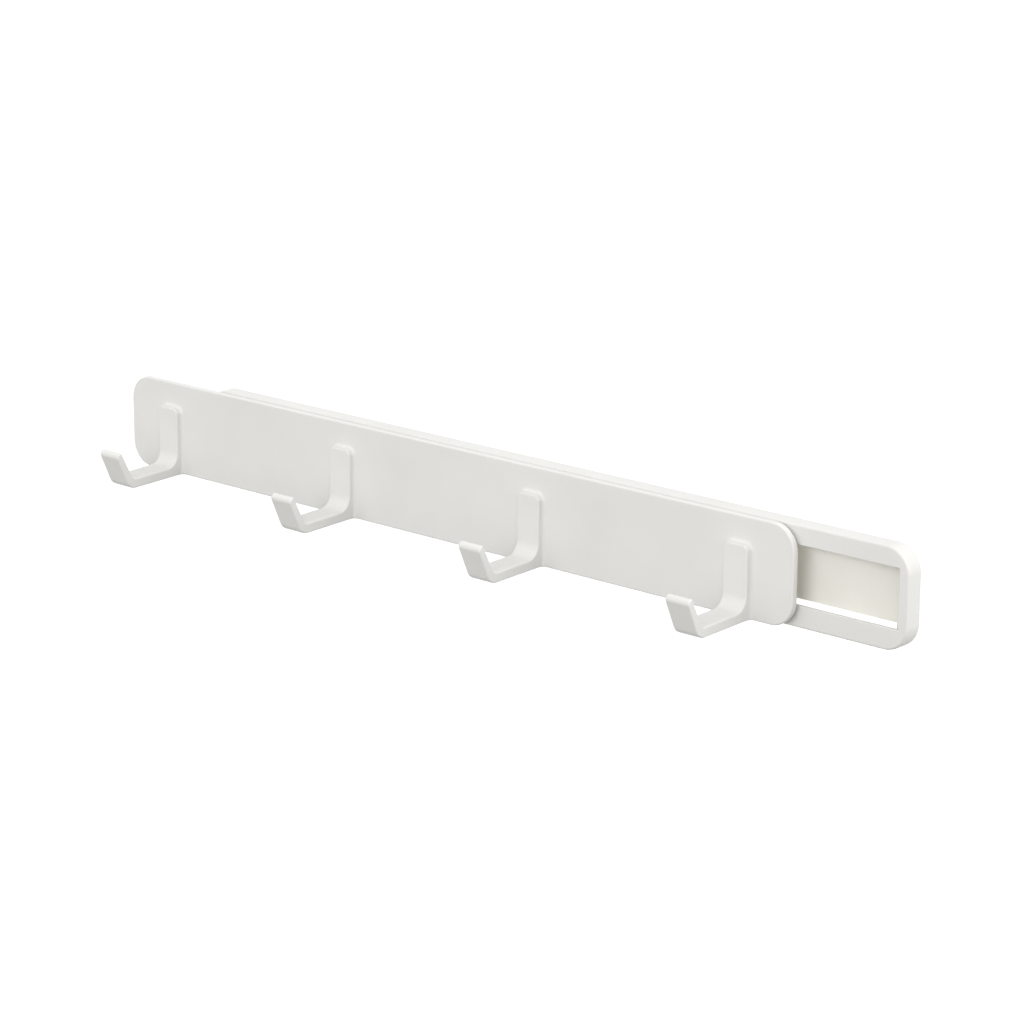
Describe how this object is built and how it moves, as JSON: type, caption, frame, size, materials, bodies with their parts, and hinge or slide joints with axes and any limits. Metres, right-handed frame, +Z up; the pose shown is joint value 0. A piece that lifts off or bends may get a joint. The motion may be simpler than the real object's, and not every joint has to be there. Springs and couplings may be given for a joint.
{
  "type": "pull-out hook rail",
  "caption": "Slim white moulded rail with upturned coat hooks that slides sideways on a flat, slotted wall frame.",
  "frame": {"origin": "centre of the rear face that lies on the wall", "axes": "+X along the rail to the right as seen from the front, +Y into the wall, +Z up"},
  "size_m": [0.511, 0.0604, 0.0503],
  "materials": {
    "white_plastic": "semi-matte moulded ABS, neutral white",
    "warm_plastic": "semi-matte moulded ABS, slightly warmer white",
    "natural_plastic": "as-moulded glass-filled nylon, natural",
    "acetal": "as-moulded acetal, natural white",
    "zinc_steel": "bright zinc plate",
    "spring_steel": "rolled stainless strip",
    "rubber": "matte black thermoplastic rubber"
  },
  "bodies": {
    "wall_side": {"wall_frame": "white_plastic", "back_plate": "warm_plastic", "frame_screws": "zinc_steel", "upper_left_buffer": "rubber", "lower_left_buffer": "rubber", "upper_right_buffer": "rubber", "lower_right_buffer": "rubber"},
    "hook_slide": {"hook_plate": "white_plastic", "carriage": "natural_plastic", "carriage_screws": "zinc_steel", "upper_left_glide": "acetal", "lower_left_glide": "acetal", "upper_right_glide": "acetal", "lower_right_glide": "acetal", "upper_glide_strip": "acetal", "lower_glide_strip": "acetal", "left_drag_spring": "spring_steel", "right_drag_spring": "spring_steel", "left_drag_pad": "acetal", "right_drag_pad": "acetal"}
  },
  "joints": [
    {"name": "pull_out", "type": "slide", "parent": "wall_side", "child": "hook_slide", "axis": [-1, 0, 0], "range_m": [-0.0575, 0.1225]}
  ]
}
